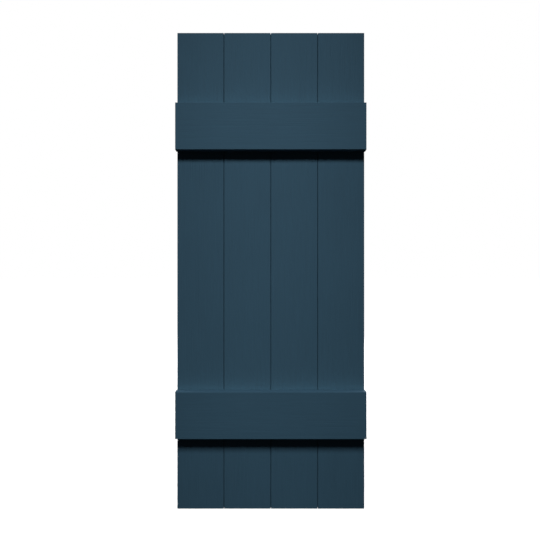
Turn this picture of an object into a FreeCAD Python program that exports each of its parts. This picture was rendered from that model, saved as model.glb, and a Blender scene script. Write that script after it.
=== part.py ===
import FreeCAD, Part
import math
import os

# Decorative board and batten window shutter, moulded in weatherproof plastic.
# Hollow boards lap over one another edge to edge, and two hollow battens lie across their fronts.
# Each batten is screwed on from behind, through the front walls of the boards.
# X runs across the shutter, Y runs into the wall and Z runs up. The wall is the plane Y = 0 and
# the origin is the middle of the shutter's back. All sizes are in millimetres.

# The boards, named from left to right as seen from the front
board_names = ("left_outer_board", "left_inner_board", "right_inner_board", "right_outer_board")
shutter_height = 889.0
board_width = 86.56
board_gap = 1.0
board_depth = 19.05
wall = 2.4
edge_radius = 0.8

# The lap between two boards: a tongue on the right edge of one runs under the left edge of the next
lap_depth = 6.5
lap_overlap = 5.0
lap_clearance = 0.8

# The cross ribs inside a board
rib_thickness = 2.0
rib_pitch = 80.0

# The battens
batten_height = 87.3
batten_depth = 19.05
batten_overhang = 1.6
batten_inset = 134.9
batten_draft = 0.5

# The screw places, two to a board behind each batten
screw_spread_x = 43.0
screw_spread_z = 43.0
screw_hole_diameter = 4.6
screw_pad_diameter = 12.0
screw_pad_height = 1.6
boss_diameter = 9.0
pilot_diameter = 3.2
pilot_depth = 13.0

# Planes and places that follow from the sizes
board_pitch = board_width + board_gap
panel_width = len(board_names) * board_pitch - board_gap
board_front = -board_depth
batten_front = board_front - batten_depth
lap_front = board_front + lap_depth
tongue_reach = board_gap + lap_overlap
rebate_width = lap_overlap + lap_clearance
batten_outer_edge = shutter_height / 2 - batten_inset
batten_inner_edge = batten_outer_edge - batten_height
batten_middle = (batten_outer_edge + batten_inner_edge) / 2


def board_left(index):
    """X of the left edge of a board's face."""
    return index * board_pitch - panel_width / 2


def prism(points, bottom, top):
    """Upright prism between two heights, on an outline given as (x, y) points."""
    corners = [FreeCAD.Vector(x, y, bottom) for x, y in points]
    outline = Part.makePolygon(corners + corners[:1])
    return Part.Face(outline).extrude(FreeCAD.Vector(0, 0, top - bottom))


def rod(diameter, start, end, place):
    """Round bar along Y between two planes, centred on an (x, z) place."""
    x, z = place
    base = FreeCAD.Vector(x, start, z)
    return Part.makeCylinder(diameter / 2, end - start, base, FreeCAD.Vector(0, 1, 0))


def front_edges(solid):
    """Edges round the foremost flat face of a solid."""
    return min(solid.Faces, key=lambda face: face.CenterOfMass.y).Edges


def board_outline(left, lapped_left, lapped_right):
    """Outer section of a board. A lapped left edge is rebated to lie over the tongue of the board
    before it, and a lapped right edge steps out as a tongue under the board after it."""
    right = left + board_width
    points = [(left, board_front), (right, board_front)]
    if lapped_right:
        tip = right + tongue_reach
        points += [(right, lap_front), (tip, lap_front), (tip, 0)]
    else:
        points += [(right, 0)]
    if lapped_left:
        shoulder = left + rebate_width
        points += [(shoulder, 0), (shoulder, lap_front), (left, lap_front)]
    else:
        points += [(left, 0)]
    return points


def board_hollow(left, lapped_left, lapped_right):
    """Section of the space inside a board: the outer section less the wall, open at the back."""
    inner_left = left + wall + (rebate_width if lapped_left else 0)
    inner_right = left + board_width - wall
    points = [(inner_left, wall), (inner_left, board_front + wall), (inner_right, board_front + wall)]
    if lapped_right:
        points += [(inner_right, lap_front + wall)]
        inner_right += tongue_reach
        points += [(inner_right, lap_front + wall)]
    points += [(inner_right, wall)]
    return points


def lip_channel(left):
    """Section of the channel that thins the lip of a lapped left edge to one wall."""
    inner, outer = left + wall, left + rebate_width
    front = board_front + wall
    return [(inner, front), (outer, front), (outer, lap_front), (inner, lap_front)]


def rib_levels():
    """Heights of the ribs: one behind each edge of each batten, the rest evenly spaced between
    these and the ends. The middle stretch has an even number of bays, so a rib lies at mid-height."""
    stops = [0, batten_inner_edge, batten_outer_edge, shutter_height / 2]
    upper = []
    for low, high in zip(stops, stops[1:]):
        bays = math.ceil((high - low) / rib_pitch)
        upper += [low + (high - low) * step / bays for step in range(1, bays + 1)]
    upper.pop()
    return [-level for level in reversed(upper)] + [0] + upper


def bays():
    """Lowest and highest level of each space between two ribs, or between a rib and an end wall."""
    half = rib_thickness / 2
    levels = rib_levels()
    lows = [wall - shutter_height / 2] + [level + half for level in levels]
    highs = [level - half for level in levels] + [shutter_height / 2 - wall]
    return list(zip(lows, highs))


def screw_places(index, level):
    """Places (x, z) of the screws that hold one batten to one board, set on a diagonal."""
    middle = board_left(index) + board_width / 2
    return [(middle + side * screw_spread_x / 2, level - side * screw_spread_z / 2) for side in (-1, 1)]


def make_board(index):
    """One board: a moulded shell with closed ends, cross ribs, lapped edges and screw pads."""
    left = board_left(index)
    laps = (index > 0, index < len(board_names) - 1)
    bottom, top = -shutter_height / 2, shutter_height / 2
    body = prism(board_outline(left, *laps), bottom, top)
    body = body.makeFillet(edge_radius, front_edges(body))
    hollow = board_hollow(left, *laps)
    spaces = [prism(hollow, low, high) for low, high in bays()]
    if laps[0]:
        spaces.append(prism(lip_channel(left), bottom + wall, top - wall))
    body = body.cut(spaces)
    places = [place for level in (-batten_middle, batten_middle) for place in screw_places(index, level)]
    pad_front = board_front + wall
    pad_back = pad_front + screw_pad_height
    body = body.fuse([rod(screw_pad_diameter, pad_front, pad_back, place) for place in places])
    holes = [rod(screw_hole_diameter, board_front - wall, pad_back + wall, place) for place in places]
    return body.cut(holes).removeSplitter()


def make_batten(level):
    """One batten: a moulded cap whose sides lean in towards its front, open towards the boards,
    with a boss for each screw and a rib across it at each groove between boards."""
    end = panel_width / 2 + batten_overhang
    low, high = level - batten_height / 2, level + batten_height / 2
    block = Part.makeWedge(
        batten_draft - end, batten_front, low + batten_draft, low, -end,
        end - batten_draft, board_front, high - batten_draft, high, end,
    )
    open_side = max(block.Faces, key=lambda face: face.CenterOfMass.y)
    body = block.makeThickness([open_side], -wall, 1e-4)
    body = body.makeFillet(edge_radius, front_edges(body))
    inside = batten_front + wall
    places = [place for index in range(len(board_names)) for place in screw_places(index, level)]
    ribs = []
    for index in range(1, len(board_names)):
        groove = board_left(index) - board_gap / 2
        start = FreeCAD.Vector(groove - rib_thickness / 2, inside, low + wall)
        ribs.append(Part.makeBox(rib_thickness, board_front - inside, high - low - 2 * wall, start))
    body = body.fuse(ribs + [rod(boss_diameter, inside, board_front, place) for place in places])
    pilot_end = board_front - pilot_depth
    pilots = [rod(pilot_diameter, pilot_end, board_front + wall, place) for place in places]
    return body.cut(pilots).removeSplitter()


def main():
    """Make every piece and write it to a file of its own."""
    pieces = {name: make_board(index) for index, name in enumerate(board_names)}
    pieces["upper_batten"] = make_batten(batten_middle)
    pieces["lower_batten"] = make_batten(-batten_middle)
    os.makedirs("parts", exist_ok=True)
    for name, shape in pieces.items():
        if not shape.isValid() or len(shape.Solids) != 1:
            raise ValueError(name + " is not one sound solid")
        shape.Solids[0].exportStep(os.path.join("parts", name + ".step"))


main()
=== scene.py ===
import math

import bpy
import numpy as np
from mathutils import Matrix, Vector


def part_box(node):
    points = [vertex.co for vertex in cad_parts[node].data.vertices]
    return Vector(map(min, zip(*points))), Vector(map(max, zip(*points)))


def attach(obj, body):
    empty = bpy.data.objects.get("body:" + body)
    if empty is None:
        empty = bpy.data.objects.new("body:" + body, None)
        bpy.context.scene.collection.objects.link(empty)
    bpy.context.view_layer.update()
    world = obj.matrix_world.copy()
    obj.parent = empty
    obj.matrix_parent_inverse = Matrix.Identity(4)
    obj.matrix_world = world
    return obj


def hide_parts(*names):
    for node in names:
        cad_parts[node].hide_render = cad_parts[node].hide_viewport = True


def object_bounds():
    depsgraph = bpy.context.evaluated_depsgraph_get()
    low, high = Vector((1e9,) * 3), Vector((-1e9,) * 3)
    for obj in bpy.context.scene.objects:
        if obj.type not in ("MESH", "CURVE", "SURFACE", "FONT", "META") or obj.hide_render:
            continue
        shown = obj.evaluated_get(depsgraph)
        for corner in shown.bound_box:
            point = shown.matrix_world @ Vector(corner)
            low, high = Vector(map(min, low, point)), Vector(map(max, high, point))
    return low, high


bl_info = {
    "name": "Board and batten shutter",
    "version": (1, 0, 0),
    "blender": (4, 5, 0),
    "location": "View3D > Sidebar > Shutter",
    "description": "Grains and colours a moulded shutter and lights it in a white studio",
    "category": "Object",
}

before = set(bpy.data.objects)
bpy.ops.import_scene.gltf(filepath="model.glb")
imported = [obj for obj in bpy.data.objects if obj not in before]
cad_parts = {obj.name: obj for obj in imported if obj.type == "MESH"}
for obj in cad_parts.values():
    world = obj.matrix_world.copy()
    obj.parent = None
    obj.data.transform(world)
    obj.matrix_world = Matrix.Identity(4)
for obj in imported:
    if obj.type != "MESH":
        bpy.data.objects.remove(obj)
cad_low, cad_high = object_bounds()

BOARDS = ("left_outer_board", "left_inner_board", "right_inner_board", "right_outer_board")
BATTENS = ("upper_batten", "lower_batten")
MM = 0.001
FULL_TURN = 2 * math.pi
FRAME_PIXELS = 540
SMOOTH_ANGLE = math.radians(32)
ACROSS, DEEP, UP = 0, 1, 2

# Sockets of the Mix and Mix Shader nodes, which Blender tells apart by number and not by name
FACTOR = 0
VALUE_A, VALUE_B, MIXED_VALUE = 2, 3, 0
COLOUR_A, COLOUR_B, MIXED_COLOUR = 6, 7, 2
SHADER_A, SHADER_B = 1, 2


def linear(hex_colour):
    """Linear RGBA of an sRGB hex colour: a channel v becomes v / 12.92 near black, and otherwise
    (v + 0.055) / 1.055 raised to the power 2.4."""
    channels = np.array([int(hex_colour[i : i + 2], 16) / 255 for i in (1, 3, 5)])
    curve = np.where(channels <= 0.04045, channels / 12.92, ((channels + 0.055) / 1.055) ** 2.4)
    return (*curve.tolist(), 1.0)


class ShutterGrain(bpy.types.PropertyGroup):
    """Wood grain moulded into the faces of the boards and battens."""

    stroke_width: bpy.props.FloatProperty(
        name="Stroke width",
        description="Half width of a typical grain stroke",
        default=0.55 * MM,
        unit="LENGTH",
    )
    stroke_length: bpy.props.FloatProperty(
        name="Stroke length",
        description="Half length of a typical grain stroke",
        default=34 * MM,
        unit="LENGTH",
    )
    board_depth: bpy.props.FloatProperty(
        name="Depth on boards",
        description="Depth of a typical grain stroke on a board",
        default=0.11 * MM,
        unit="LENGTH",
    )
    batten_depth: bpy.props.FloatProperty(
        name="Depth on battens",
        description="Depth of a typical grain stroke on a batten",
        default=0.03 * MM,
        unit="LENGTH",
    )
    stroke_spacing: bpy.props.FloatProperty(
        name="Stroke spacing",
        description="Side of the square that holds one stroke on average",
        default=10.5 * MM,
        unit="LENGTH",
    )
    sway: bpy.props.FloatProperty(
        name="Sway",
        description="How far the grain wanders sideways along a board",
        default=1.3 * MM,
        unit="LENGTH",
    )


class ShutterScrews(bpy.types.PropertyGroup):
    """Screws that hold the battens from behind."""

    head_diameter: bpy.props.FloatProperty(
        name="Head diameter",
        description="Diameter of the pan head",
        default=8.0 * MM,
        unit="LENGTH",
    )
    head_height: bpy.props.FloatProperty(
        name="Head height",
        description="Height of the pan head above its pad",
        default=2.7 * MM,
        unit="LENGTH",
    )
    shank_diameter: bpy.props.FloatProperty(
        name="Shank diameter",
        description="Diameter of the shank under its thread",
        default=2.8 * MM,
        unit="LENGTH",
    )
    shank_length: bpy.props.FloatProperty(
        name="Shank length",
        description="Length of the shank from the head to the tip",
        default=15.5 * MM,
        unit="LENGTH",
    )
    thread_pitch: bpy.props.FloatProperty(
        name="Thread pitch",
        description="Distance from one turn of the thread to the next",
        default=1.6 * MM,
        unit="LENGTH",
    )
    spread: bpy.props.FloatProperty(
        name="Spread",
        description="Distance between the two screws of a board, across and up",
        default=43.0 * MM,
        unit="LENGTH",
    )
    pad_depth: bpy.props.FloatProperty(
        name="Pad depth",
        description="Distance from the face of a board to the top of the pad behind it",
        default=4.0 * MM,
        unit="LENGTH",
    )


class ShutterFinish(bpy.types.PropertyGroup):
    """Colours of the shutter."""

    plastic: bpy.props.FloatVectorProperty(
        name="Plastic",
        description="Colour moulded through the boards and battens",
        default=linear("#2d4b5d"),
        size=4,
        min=0,
        max=1,
        subtype="COLOR",
    )
    zinc: bpy.props.FloatVectorProperty(
        name="Zinc",
        description="Colour of the plated screws",
        default=linear("#b9bcc0"),
        size=4,
        min=0,
        max=1,
        subtype="COLOR",
    )


class ShutterStudio(bpy.types.PropertyGroup):
    """Camera and lights."""

    camera_distance: bpy.props.FloatProperty(
        name="Camera distance",
        description="Distance from the camera to the faces of the boards",
        default=1.08,
        unit="LENGTH",
    )
    view_height: bpy.props.FloatProperty(
        name="View height",
        description="Height of the frame in the plane of the boards' faces",
        default=1.0087,
        unit="LENGTH",
    )
    key_place: bpy.props.FloatVectorProperty(
        name="Key place",
        description="Middle of the softbox over the camera",
        default=(-0.05, -1.55, 1.57),
        subtype="TRANSLATION",
    )
    key_power: bpy.props.FloatProperty(
        name="Key power",
        description="Power of the softbox over the camera, in watts",
        default=134.0,
        unit="POWER",
    )


def add_node(tree, kind, settings=None, inputs=None):
    """Add a node, set its own fields, then fill its sockets. A socket that is given another node's
    output is linked to it, and any other value becomes the socket's own."""
    node = tree.nodes.new(kind)
    for field, value in (settings or {}).items():
        setattr(node, field, value)
    for socket, value in (inputs or {}).items():
        if isinstance(value, bpy.types.NodeSocket):
            tree.links.new(value, node.inputs[socket])
        else:
            node.inputs[socket].default_value = value
    return node


def new_material(name):
    """An empty node material and its output node."""
    material = bpy.data.materials.new(name)
    material.use_nodes = True
    material.node_tree.nodes.clear()
    output = add_node(material.node_tree, "ShaderNodeOutputMaterial")
    return material, output


def shaded(colour, factor):
    """A colour with its red, green and blue multiplied by one factor."""
    return (colour[0] * factor, colour[1] * factor, colour[2] * factor, 1.0)


def moulded_copolymer(name, grain_axis, face):
    """Polypropylene copolymer, coloured through and moulded against a satin, grained steel tool.
    The eye sees a dense even colour with barely darker streaks along the grain, a soft broad sheen,
    and a fine tooth that keeps it from looking polished."""
    material, output = new_material(name)
    tree = material.node_tree
    colour = bpy.context.scene.shutter_finish.plastic
    # A satin tool's tooth is finer than this, and is drawn as coarse as it needs to show
    streak_width, streak_length, cloud_size, tooth_size = 1.6 * MM, 60 * MM, 90 * MM, 0.5 * MM
    place = add_node(tree, "ShaderNodeTexCoord").outputs["Object"]
    streak_scale = [1 / streak_width] * 3
    streak_scale[grain_axis] = 1 / streak_length
    along_grain = add_node(tree, "ShaderNodeMapping", None, {"Vector": place, "Scale": streak_scale})
    streak_noise = add_node(
        tree,
        "ShaderNodeTexNoise",
        None,
        {"Vector": along_grain.outputs["Vector"], "Scale": 1.0, "Detail": 3.0},
    )
    # Only the face is grained: round its edges the streaks fade into their mean
    fade_start, fade_end, streak_mean = face + 0.3 * MM, face + 1.2 * MM, 0.5
    depth = add_node(tree, "ShaderNodeSeparateXYZ", None, {"Vector": place}).outputs["Y"]
    on_face = add_node(
        tree,
        "ShaderNodeMapRange",
        None,
        {"Value": depth, "From Min": fade_end, "From Max": fade_start},
    )
    streaks = add_node(
        tree,
        "ShaderNodeMix",
        {"data_type": "FLOAT"},
        {
            FACTOR: on_face.outputs["Result"],
            VALUE_A: streak_mean,
            VALUE_B: streak_noise.outputs["Fac"],
        },
    ).outputs[MIXED_VALUE]
    streak_colour = add_node(
        tree,
        "ShaderNodeMix",
        {"data_type": "RGBA"},
        {FACTOR: streaks, COLOUR_A: shaded(colour, 0.9), COLOUR_B: shaded(colour, 1.1)},
    )
    # The plastic's flow into the tool leaves wide clouds, barely lighter and darker
    clouds = add_node(
        tree,
        "ShaderNodeTexNoise",
        None,
        {"Vector": place, "Scale": 1 / cloud_size, "Detail": 2.0},
    )
    cloud_shade = add_node(
        tree,
        "ShaderNodeMapRange",
        None,
        {"Value": clouds.outputs["Fac"], "To Min": 0.95, "To Max": 1.05},
    )
    cloud_colour = add_node(
        tree,
        "ShaderNodeMix",
        {"data_type": "RGBA", "blend_type": "MULTIPLY"},
        {
            FACTOR: 1.0,
            COLOUR_A: streak_colour.outputs[MIXED_COLOUR],
            COLOUR_B: cloud_shade.outputs["Result"],
        },
    )
    roughness = add_node(
        tree,
        "ShaderNodeMapRange",
        None,
        {"Value": streaks, "To Min": 0.8, "To Max": 0.88},
    )
    tooth = add_node(
        tree,
        "ShaderNodeTexNoise",
        None,
        {"Vector": place, "Scale": 1 / tooth_size, "Detail": 1.0},
    )
    fine_bump = add_node(
        tree,
        "ShaderNodeBump",
        None,
        {"Height": tooth.outputs["Fac"], "Strength": 0.5, "Distance": 0.03 * MM},
    )
    bump = add_node(
        tree,
        "ShaderNodeBump",
        None,
        {
            "Height": streaks,
            "Strength": 0.6,
            "Distance": 0.05 * MM,
            "Normal": fine_bump.outputs["Normal"],
        },
    )
    shader = add_node(
        tree,
        "ShaderNodeBsdfPrincipled",
        None,
        {
            "Base Color": cloud_colour.outputs[MIXED_COLOUR],
            "Roughness": roughness.outputs["Result"],
            "IOR": 1.49,
            "Specular IOR Level": 0.25,
            "Normal": bump.outputs["Normal"],
        },
    )
    tree.links.new(shader.outputs["BSDF"], output.inputs["Surface"])
    return material


def zinc_plate(name):
    """Steel screws, zinc plated and passivated. The eye sees a bright grey metal with a faint milky
    unevenness from the plating bath."""
    material, output = new_material(name)
    tree = material.node_tree
    colour = bpy.context.scene.shutter_finish.zinc
    # Plating crystals are finer than this, and are drawn as coarse as they need to show
    crystal_size = 0.7 * MM
    place = add_node(tree, "ShaderNodeTexCoord").outputs["Object"]
    crystals = add_node(
        tree,
        "ShaderNodeTexNoise",
        None,
        {"Vector": place, "Scale": 1 / crystal_size, "Detail": 3.0},
    )
    plate_colour = add_node(
        tree,
        "ShaderNodeMix",
        {"data_type": "RGBA"},
        {
            FACTOR: crystals.outputs["Fac"],
            COLOUR_A: shaded(colour, 0.85),
            COLOUR_B: shaded(colour, 1.1),
        },
    )
    roughness = add_node(
        tree,
        "ShaderNodeMapRange",
        None,
        {"Value": crystals.outputs["Fac"], "To Min": 0.25, "To Max": 0.45},
    )
    shader = add_node(
        tree,
        "ShaderNodeBsdfPrincipled",
        None,
        {
            "Base Color": plate_colour.outputs[MIXED_COLOUR],
            "Metallic": 1.0,
            "Roughness": roughness.outputs["Result"],
        },
    )
    tree.links.new(shader.outputs["BSDF"], output.inputs["Surface"])
    return material


def grid_faces(rows, columns, closed):
    """Corner numbers of the four-sided faces of a grid of points, row by row. A closed grid joins
    its last column to its first."""
    numbers = np.arange(rows * columns).reshape(rows, columns)
    ahead = np.roll(numbers, -1, axis=1)
    if not closed:
        numbers, ahead = numbers[:, :-1], ahead[:, :-1]
    corners = (numbers[:-1], ahead[:-1], ahead[1:], numbers[1:])
    return np.stack([corner.ravel() for corner in corners], axis=1)


def new_piece(name, points, faces):
    """A mesh object at the origin from an array of points and a list of face arrays."""
    mesh = bpy.data.meshes.new(name)
    polygons = [face for group in faces for face in group.tolist()]
    mesh.from_pydata(points.reshape(-1, 3).tolist(), [], polygons)
    mesh.validate()
    piece = bpy.data.objects.new(name, mesh)
    bpy.context.scene.collection.objects.link(piece)
    return piece


def finish_piece(piece, material):
    """Smooth shading with sharp edges kept, one material, and the body that carries the piece."""
    piece.data.shade_smooth()
    piece.data.set_sharp_from_angle(angle=SMOOTH_ANGLE)
    piece.data.materials.clear()
    piece.data.materials.append(material)
    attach(piece, "root")


def front_of(node):
    """Y of the front of a node."""
    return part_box(node)[0].y


def merged_copy(node, name):
    """A closed copy of a CAD node's mesh: corners that lie at the same place become one."""
    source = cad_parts[node].data
    places = np.empty(len(source.vertices) * 3, np.float32)
    source.vertices.foreach_get("co", places)
    corners = np.empty(len(source.loops), np.int32)
    source.loops.foreach_get("vertex_index", corners)
    rounded = np.round(places.reshape(-1, 3).astype(float), decimals=7)
    points, numbers = np.unique(rounded, axis=0, return_inverse=True)
    return new_piece(name, points, [numbers.ravel()[corners].reshape(-1, 3)])


def grain_depths(across, along, width, length, stroke_depth, chance):
    """Depth of the grain at each distance along it, by row, and across it, by column. It is a sum
    of strokes, each a bell curve across the grain times a flat bell along it, which is one product
    of a matrix of strokes by rows and one of strokes by columns."""
    grain = bpy.context.scene.shutter_grain
    # Strokes differ from the typical one in width, length and depth by factors in these ranges
    width_range, length_range, depth_range = (0.7, 1.5), (0.4, 1.8), (0.3, 1.7)
    # Now and then a stroke is a broad, long and shallow band
    band_every, band_width, band_length, band_depth = 20, 9, 5, 0.6
    deepest = 3 * stroke_depth
    strokes = int(width * length / grain.stroke_spacing**2)
    middle = chance.uniform(0, width, strokes)[:, None]
    centre = chance.uniform(0, length, strokes)[:, None]
    band = (np.arange(strokes) % band_every == 0)[:, None]
    column = (strokes, 1)
    spread = grain.stroke_width * chance.uniform(*width_range, column) * np.where(band, band_width, 1)
    reach = grain.stroke_length * chance.uniform(*length_range, column) * np.where(band, band_length, 1)
    depth = stroke_depth * chance.uniform(*depth_range, column) * np.where(band, band_depth, 1)
    bells = np.exp(-(((across - middle) / spread) ** 2))
    runs = depth * np.exp(-(((along - centre) / reach) ** 4))
    return np.minimum(runs.T @ bells, deepest)


def grain_sway(along, chance):
    """How far the grain sways sideways at each distance along it, in units of the sway: a long sine
    wave and a weaker short one."""
    long_wave, short_wave, short_strength = 0.41, 0.17, 0.4
    turns = chance.uniform(0, FULL_TURN, 2)
    short = short_strength * np.sin(FULL_TURN * along / short_wave + turns[1])
    return np.sin(FULL_TURN * along / long_wave + turns[0]) + short


def grain_block(name, low, high, grain_axis, stroke_depth, seed):
    """Block that cuts the grain into a face: it lies in front of the face, and its back is the
    grain's surface, a function of the distances across and along the grain, whose columns all sway
    sideways together. The block reaches past the face all round."""
    sway = bpy.context.scene.shutter_grain.sway
    chance = np.random.default_rng(seed)
    cross_axis = ACROSS if grain_axis == UP else UP
    margin, column_pitch, row_pitch = 4 * MM, 0.3 * MM, 5 * MM
    # The whole face is taken back by a hair, so that the cut face is all of one surface
    hair, block_front = 0.02 * MM, 2 * MM
    width, length = high[cross_axis] - low[cross_axis], high[grain_axis] - low[grain_axis]
    across = np.linspace(-margin, width + margin, int(width / column_pitch))
    along = np.linspace(-margin, length + margin, int(length / row_pitch))
    cut = grain_depths(across, along, width, length, stroke_depth, chance)
    back = np.empty((len(along), len(across), 3))
    back[:, :, cross_axis] = low[cross_axis] + across + sway * grain_sway(along, chance)[:, None]
    back[:, :, grain_axis] = low[grain_axis] + along[:, None]
    back[:, :, DEEP] = low[DEEP] + hair + cut
    front = back.copy()
    front[:, :, DEEP] = low[DEEP] - block_front
    rows, columns = back.shape[:2]
    sheet = grid_faces(rows, columns, False)
    half = rows * columns
    numbers = np.arange(half).reshape(rows, columns)
    rim = np.concatenate([numbers[0, :-1], numbers[:-1, -1], numbers[-1, :0:-1], numbers[:0:-1, 0]])
    ahead = np.roll(rim, -1)
    sides = np.stack([ahead, rim, rim + half, ahead + half], axis=1)
    faces = [sheet, sheet[:, ::-1] + half, sides]
    if grain_axis == UP:
        faces = [group[:, ::-1] for group in faces]
    return new_piece(name, np.concatenate([back, front]), faces)


def grained_copy(node, name, grain_axis, stroke_depth, seed):
    """A copy of a CAD node with wood grain cut into its front."""
    low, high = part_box(node)
    piece = merged_copy(node, name)
    block = grain_block(name + "_grain", low, high, grain_axis, stroke_depth, seed)
    cut = piece.modifiers.new("grain", "BOOLEAN")
    cut.operation = "DIFFERENCE"
    cut.solver = "MANIFOLD"
    cut.object = block
    plain = piece.data
    result = piece.evaluated_get(bpy.context.evaluated_depsgraph_get())
    piece.data = bpy.data.meshes.new_from_object(result)
    piece.modifiers.clear()
    bpy.data.meshes.remove(plain)
    bpy.data.meshes.remove(block.data)
    piece.data.name = name
    fewest_faces = 1000
    if len(piece.data.polygons) < fewest_faces:
        raise RuntimeError(name + ": the grain was not cut")
    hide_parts(node)
    return piece


class SHUTTER_OT_boards(bpy.types.Operator):
    """Cut upright grain into the boards and colour them"""

    bl_idname = "shutter.boards"
    bl_label = "Grained boards"

    def execute(self, context):
        material = moulded_copolymer("moulded_copolymer_upright_grain", UP, front_of(BOARDS[0]))
        depth = context.scene.shutter_grain.board_depth
        for seed, node in enumerate(BOARDS):
            piece = grained_copy(node, "grained_" + node, UP, depth, seed)
            finish_piece(piece, material)
        return {"FINISHED"}


class SHUTTER_OT_battens(bpy.types.Operator):
    """Cut level grain into the battens and colour them"""

    bl_idname = "shutter.battens"
    bl_label = "Grained battens"

    def execute(self, context):
        material = moulded_copolymer("moulded_copolymer_level_grain", ACROSS, front_of(BATTENS[0]))
        depth = context.scene.shutter_grain.batten_depth
        for seed, node in enumerate(BATTENS, len(BOARDS)):
            piece = grained_copy(node, "grained_" + node, ACROSS, depth, seed)
            finish_piece(piece, material)
        return {"FINISHED"}


def cross_recess(radii, around):
    """Depth of the cross recess at each distance from a head's middle, by row, and angle, by column.
    Two arms with steep sides cross at the middle. Their floor rises outwards and ends at a wall."""
    arm_half_width, side_slope = 0.72 * MM, 0.22 * MM
    arm_length, end_slope = 2.55 * MM, 0.3 * MM
    middle_depth, rise_per_mm = 1.8 * MM, 0.16
    east, north = np.cos(around) * radii[:, None], np.sin(around) * radii[:, None]
    to_arm = np.minimum(abs(east), abs(north))
    down_arm = np.maximum(abs(east), abs(north))
    side_wall = np.clip((arm_half_width - to_arm) / side_slope, 0, 1)
    end_wall = np.clip((arm_length - down_arm) / end_slope, 0, 1)
    floor_rise = 1 - rise_per_mm * down_arm / MM
    return middle_depth * side_wall * end_wall * floor_rise


def threaded_shank(core, shank, around, sizes):
    """Radius of the shank at each distance from the head, by row, and angle, by column: the core and
    a ridge that climbs one pitch for each turn and fades in below the head, narrowed to a point."""
    ridge_height, half_pitch_share = 0.55 * MM, 0.28
    plain_length, fade_length = 2.2 * MM, 0.8 * MM
    point_length, tip_share = 3.2 * MM, 0.04
    climb = (shank[:, None] / sizes.thread_pitch - around / FULL_TURN) % 1
    ridge = ridge_height * np.clip(1 - abs(climb - 0.5) / half_pitch_share, 0, 1)
    fade = np.clip((shank - plain_length) / fade_length, 0, 1)[:, None]
    point = np.clip((sizes.shank_length - shank) / point_length, tip_share, 1)[:, None]
    return (core + ridge * fade) * point


def screw_rings(sizes):
    """Points of one screw about the Y axis, head up at Y above 0, as rings of the angle round it
    and the distance along its outline: over the dome, down the rim, in to the shank and along to
    the point. The dome falls by the fourth power of the distance from its middle."""
    steps_round, dome_fall, rim_height, underside_share = 72, 0.42, 0.3 * MM, 0.97
    around = np.arange(steps_round) * FULL_TURN / steps_round
    head = sizes.head_diameter / 2
    core = sizes.shank_diameter / 2
    # Shares of the head's radius, closer together where the dome bends down to its rim
    flat_shares = np.linspace(0.02, 0.7, 20)
    bend_shares = [0.78, 0.86, 0.92, 0.96, 0.985, 1.0]
    shank_shares = np.linspace(0.06, 1, 48)
    dome = head * np.concatenate([flat_shares, bend_shares])
    dome_height = sizes.head_height * (1 - dome_fall * (dome / head) ** 4)
    shank = shank_shares * sizes.shank_length
    radius = np.concatenate([dome, [head, head * underside_share, core], np.full(len(shank), core)])
    height = np.concatenate([dome_height, [rim_height, 0, 0], -shank])
    turned = radius[:, None] * np.ones(len(around))
    turned[-len(shank) :] = threaded_shank(core, shank, around, sizes)
    level = np.repeat(height[:, None], len(around), axis=1)
    level[: len(dome)] -= cross_recess(dome, around)
    return np.stack([turned * np.cos(around), level, turned * np.sin(around)], axis=2)


def screw_surface(sizes):
    """Points and faces of one screw: the walls between its rings, and a fan of triangles from a
    middle point to the first ring and to the last, which close its ends."""
    rings = screw_rings(sizes)
    count, around = rings.shape[:2]
    ends = np.stack([rings[0].mean(axis=0), rings[-1].mean(axis=0)])
    points = np.concatenate([rings.reshape(-1, 3), ends])
    first = np.arange(around)
    last = first + (count - 1) * around
    top, tip = count * around, count * around + 1
    faces = [
        grid_faces(count, around, True),
        np.stack([np.full(around, top), np.roll(first, -1), first], axis=1),
        np.stack([np.full(around, tip), last, np.roll(last, -1)], axis=1),
    ]
    return points, faces


def screw_places(batten, sizes):
    """Places of a batten's screws on the pads behind it, two on a diagonal in each board."""
    low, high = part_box(batten)
    level = (low.z + high.z) / 2
    pad = front_of(BOARDS[0]) + sizes.pad_depth
    # The right outer board has no tongue, so its box is as wide as the face of any board
    plain_low, plain_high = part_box(BOARDS[-1])
    half_face = (plain_high.x - plain_low.x) / 2
    places = []
    for board in BOARDS:
        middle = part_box(board)[0].x + half_face
        for side in (-0.5, 0.5):
            places.append((middle + side * sizes.spread, pad, level - side * sizes.spread))
    return np.array(places)


class SHUTTER_OT_screws(bpy.types.Operator):
    """Drive the screws through the backs of the boards into the battens"""

    bl_idname = "shutter.screws"
    bl_label = "Batten screws"

    def execute(self, context):
        sizes = context.scene.shutter_screws
        material = zinc_plate("zinc_plated_steel")
        points, faces = screw_surface(sizes)
        for batten in BATTENS:
            places = screw_places(batten, sizes)
            offsets = np.arange(len(places))[:, None, None] * len(points)
            groups = [(group + offsets).reshape(-1, group.shape[1]) for group in faces]
            piece = new_piece(batten + "_screws", points + places[:, None, :], groups)
            finish_piece(piece, material)
        return {"FINISHED"}


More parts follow.
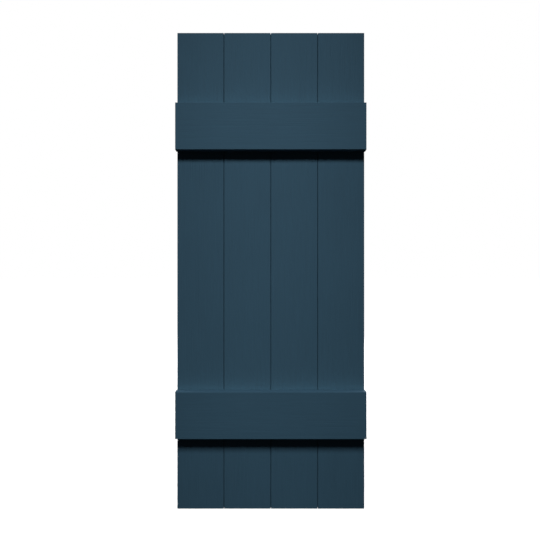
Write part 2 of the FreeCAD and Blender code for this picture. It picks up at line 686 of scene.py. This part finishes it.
def white_floor(name, low):
    """Pale matte floor, a wide disc. Away from the shutter it glows brighter, so that it runs into
    the white background."""
    reach, sides = 30.0, 64
    material, output = new_material("matte_white_floor")
    tree = material.node_tree
    place = add_node(tree, "ShaderNodeTexCoord").outputs["Object"]
    distance = add_node(tree, "ShaderNodeVectorMath", {"operation": "LENGTH"}, {"Vector": place})
    glow = add_node(
        tree,
        "ShaderNodeMapRange",
        None,
        {
            "Value": distance.outputs["Value"],
            "From Min": 0.6,
            "From Max": 2.0,
            "To Min": 0.42,
            "To Max": 1.0,
        },
    )
    shader = add_node(
        tree,
        "ShaderNodeBsdfPrincipled",
        None,
        {
            "Base Color": linear("#e6e6e6"),
            "Roughness": 1.0,
            "Specular IOR Level": 0.0,
            "Emission Color": linear("#ffffff"),
            "Emission Strength": glow.outputs["Result"],
        },
    )
    tree.links.new(shader.outputs["BSDF"], output.inputs["Surface"])
    around = np.arange(sides) * FULL_TURN / sides
    rim = np.stack([reach * np.cos(around), reach * np.sin(around), np.full(sides, low)], axis=1)
    floor = new_piece(name, rim, [np.arange(sides)[None, :]])
    floor.data.materials.append(material)
    # The floor is there for the eye alone, so that it throws no light up under the battens
    floor.visible_diffuse = False
    floor.visible_glossy = False


def matte_sheet(name, colour):
    """Matte card or cloth of one colour, for the stage."""
    material, output = new_material(name)
    tree = material.node_tree
    shader = add_node(tree, "ShaderNodeBsdfDiffuse", None, {"Color": linear(colour)})
    tree.links.new(shader.outputs["BSDF"], output.inputs["Surface"])
    return material


def stage_rectangle(name, corners, material):
    """A flat rectangle that shapes the light, and that neither camera nor reflections see."""
    sheet = new_piece(name, corners, [np.arange(4)[None, :]])
    sheet.data.materials.append(material)
    sheet.visible_camera = False
    sheet.visible_glossy = False
    return sheet


def bounce_cards():
    """A white card over the whole ledge of each batten. It throws the key light back onto the boards
    above, for a soft glow there that dark plastic alone doesn't give, and casts no shadow."""
    material = matte_sheet("matte_white_card", "#e0f0f0")
    lift = 0.2 * MM
    face = front_of(BOARDS[0])
    for batten in BATTENS:
        low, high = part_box(batten)
        across = np.array([low.x, high.x, high.x, low.x])
        deep = np.array([low.y, low.y, face, face])
        level = np.full(4, high.z + lift)
        corners = np.stack([across, deep, level], axis=1)
        card = stage_rectangle(batten + "_bounce_card", corners, material)
        card.visible_shadow = False


def hang_flags(key_place):
    """Two black flags between the key softbox and the shutter, with a gap between them, so that the
    light fades a little towards both sides. Each is a flat rectangle square to the beam."""
    material = matte_sheet("black_flag_cloth", "#101010")
    share_of_beam = 0.52
    gap_middle, gap_width = -0.03, 0.424
    outer_edge, half_height = 0.9, 1.1
    centre = np.array([0, key_place[DEEP], key_place[UP]]) * share_of_beam
    beam_length = math.hypot(key_place[DEEP], key_place[UP])
    up_the_flag = np.array([0, key_place[UP], -key_place[DEEP]]) / beam_length
    rise = np.array([-1, -1, 1, 1]) * half_height
    for name, side in (("left_flag", -1), ("right_flag", 1)):
        inner, outer = gap_middle + side * gap_width / 2, side * outer_edge
        across = np.array([inner, outer, outer, inner])
        corners = centre + rise[:, None] * up_the_flag + across[:, None] * np.array([1, 0, 0])
        flag = stage_rectangle(name, corners, material)
        flag.visible_diffuse = False


def add_light(name, place, target, size, power):
    """A softbox, given as width and height, that faces a target."""
    data = bpy.data.lights.new(name, "AREA")
    data.shape = "RECTANGLE"
    data.size, data.size_y = size
    data.energy = power
    light = bpy.data.objects.new(name, data)
    light.location = place
    light.rotation_euler = (Vector(target) - Vector(place)).to_track_quat("-Z", "Y").to_euler()
    bpy.context.scene.collection.objects.link(light)


def add_softboxes(studio):
    """The key softbox over the camera, and weaker ones behind the shutter and at both sides. The key
    is tipped away from the shutter, which evens out its light from top to foot."""
    tipped_away = 0.71
    middle = (0, 0, 0)
    x, y, _ = studio.key_place
    below_key = (x, y - tipped_away, 0)
    key_size = (0.8, 1.27)
    add_light("key_softbox", studio.key_place, below_key, key_size, studio.key_power)
    add_light("back_softbox", place=(0.9, 2.2, 0.8), target=middle, size=(1.2, 1.2), power=42)
    for side in (-1, 1):
        place = (side * 1.7, 0.5, 0.6)
        add_light("side_softbox", place, target=middle, size=(0.8, 0.8), power=14)


def white_world():
    """A background that is white to the camera and lights the shutter only faintly."""
    world = bpy.data.worlds.new("white_studio")
    world.use_nodes = True
    tree = world.node_tree
    tree.nodes.clear()
    white = linear("#ffffff")
    seen = add_node(tree, "ShaderNodeLightPath").outputs["Is Camera Ray"]
    dim = add_node(tree, "ShaderNodeBackground", None, {"Color": white, "Strength": 0.03})
    bright = add_node(tree, "ShaderNodeBackground", None, {"Color": white, "Strength": 1.0})
    mix = add_node(
        tree,
        "ShaderNodeMixShader",
        None,
        {
            FACTOR: seen,
            SHADER_A: dim.outputs["Background"],
            SHADER_B: bright.outputs["Background"],
        },
    )
    add_node(tree, "ShaderNodeOutputWorld", None, {"Surface": mix.outputs["Shader"]})
    return world


def photo_camera(studio):
    """A camera straight in front of the shutter, a fraction of a pixel off its middle."""
    pixels_right, pixels_up = -0.8, 0.8
    camera = bpy.data.cameras.new("photo_camera")
    camera.sensor_width = 36.0
    camera.lens = camera.sensor_width * studio.camera_distance / studio.view_height
    holder = bpy.data.objects.new("photo_camera", camera)
    pixel = studio.view_height / FRAME_PIXELS
    stand = front_of(BOARDS[0]) - studio.camera_distance
    holder.location = (pixels_right * pixel, stand, pixels_up * pixel)
    holder.rotation_euler = (math.pi / 2, 0, 0)
    bpy.context.scene.collection.objects.link(holder)
    return holder


class SHUTTER_OT_stage(bpy.types.Operator):
    """Set up the white studio: floor, cards, flags, softboxes, background and camera"""

    bl_idname = "shutter.stage"
    bl_label = "White studio"

    def execute(self, context):
        scene = context.scene
        studio = scene.shutter_studio
        white_floor("studio_floor", cad_low.z)
        bounce_cards()
        hang_flags(studio.key_place)
        add_softboxes(studio)
        scene.world = white_world()
        scene.view_settings.view_transform = "Standard"
        scene.camera = photo_camera(studio)
        return {"FINISHED"}


class VIEW3D_PT_shutter(bpy.types.Panel):
    """Steps and settings of the shutter"""

    bl_label = "Shutter"
    bl_space_type = "VIEW_3D"
    bl_region_type = "UI"
    bl_category = "Shutter"

    def draw(self, context):
        layout = self.layout
        for operator in OPERATORS:
            layout.operator(operator.bl_idname)
        for field, group in GROUPS.items():
            settings = getattr(context.scene, field)
            box = layout.box()
            box.label(text=group.bl_rna.name)
            for name in group.__annotations__:
                box.prop(settings, name)


GROUPS = {
    "shutter_grain": ShutterGrain,
    "shutter_screws": ShutterScrews,
    "shutter_finish": ShutterFinish,
    "shutter_studio": ShutterStudio,
}
OPERATORS = (SHUTTER_OT_boards, SHUTTER_OT_battens, SHUTTER_OT_screws, SHUTTER_OT_stage)
CLASSES = (*GROUPS.values(), *OPERATORS, VIEW3D_PT_shutter)


def register():
    """Make the classes known to Blender and hang the settings on the scene."""
    for entry in CLASSES:
        bpy.utils.register_class(entry)
    for field, group in GROUPS.items():
        setattr(bpy.types.Scene, field, bpy.props.PointerProperty(type=group))


def unregister():
    """Take the settings off the scene and the classes out of Blender."""
    for field in GROUPS:
        delattr(bpy.types.Scene, field)
    for entry in reversed(CLASSES):
        bpy.utils.unregister_class(entry)


def main():
    """Make the pieces and the stage."""
    register()
    bpy.ops.shutter.boards()
    bpy.ops.shutter.battens()
    bpy.ops.shutter.screws()
    bpy.ops.shutter.stage()


if __name__ == "__main__":
    main()
